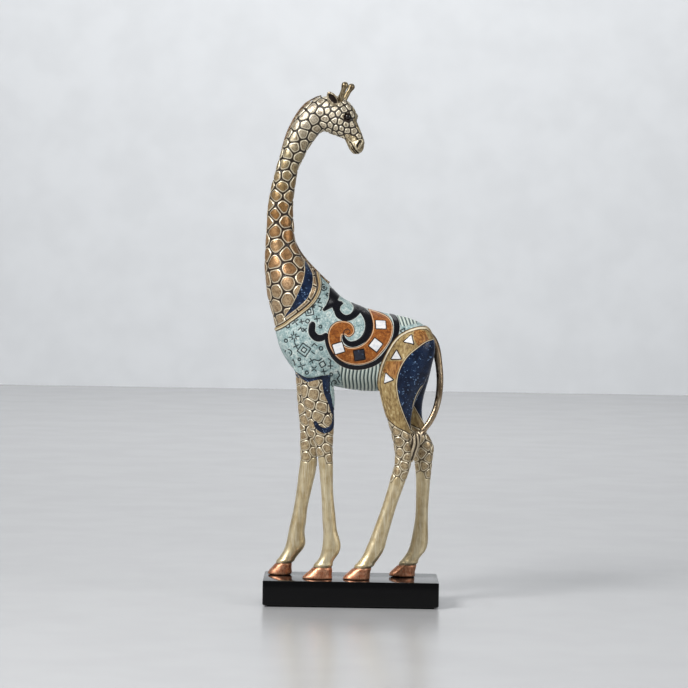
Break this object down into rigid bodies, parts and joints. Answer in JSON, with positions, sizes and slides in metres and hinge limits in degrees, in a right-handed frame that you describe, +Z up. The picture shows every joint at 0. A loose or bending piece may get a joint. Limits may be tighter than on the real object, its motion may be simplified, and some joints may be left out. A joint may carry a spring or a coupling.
{
  "type": "giraffe statuette on a plinth",
  "caption": "Standing giraffe statuette with its head turned back over its shoulder, painted and gilded, on a low gloss-black plinth; a shelf or table ornament.",
  "frame": {"origin": "centre of the resting underside of the felt, under the middle of the plinth", "axes": "+Z up; the giraffe's chest faces -X and its tail +X; its left side faces -Y"},
  "size_m": [0.1599, 0.07, 0.4617],
  "materials": {
    "black_gloss": "gloss black lacquer on a moulded block",
    "felt": "black felt",
    "zinc_steel": "zinc-plated steel",
    "teal_enamel": "cast resin, satin teal, navy, orange and gold paint",
    "giraffe_gold": "cast resin, antiqued gold paint in cells with dark grooves",
    "leg_gold": "cast resin, champagne-gold metallic paint",
    "bronze_gold": "cast resin, bronze-gold metallic paint",
    "mane_brown": "cast resin, brown paint brushed with gold",
    "eye_black": "polished black",
    "pearl_chip": "polished pearl",
    "blue_chip": "polished dark blue"
  },
  "bodies": {
    "root": {"plinth": "black_gloss", "felt_sheet": "felt", "rod_washers": "zinc_steel", "rod_nuts": "zinc_steel", "foreleg_left": "leg_gold", "foreleg_right": "leg_gold", "hindleg_left": "leg_gold", "hindleg_right": "leg_gold", "foreleg_left_rod": "zinc_steel", "foreleg_right_rod": "zinc_steel", "hindleg_left_rod": "zinc_steel", "hindleg_right_rod": "zinc_steel", "torso": "teal_enamel", "neck": "giraffe_gold", "head": "giraffe_gold", "mane": "mane_brown", "neck_dowel": "zinc_steel", "head_dowel": "zinc_steel", "tail": "bronze_gold", "ear_left": "giraffe_gold", "ear_right": "giraffe_gold", "ossicone_left": "giraffe_gold", "ossicone_right": "giraffe_gold", "eye_left": "eye_black", "eye_right": "eye_black", "left_square_inlays": "pearl_chip", "left_triangle_inlays": "pearl_chip", "left_blue_inlay": "blue_chip", "right_square_inlays": "pearl_chip", "right_triangle_inlays": "pearl_chip", "right_blue_inlay": "blue_chip"}
  },
  "joints": []
}
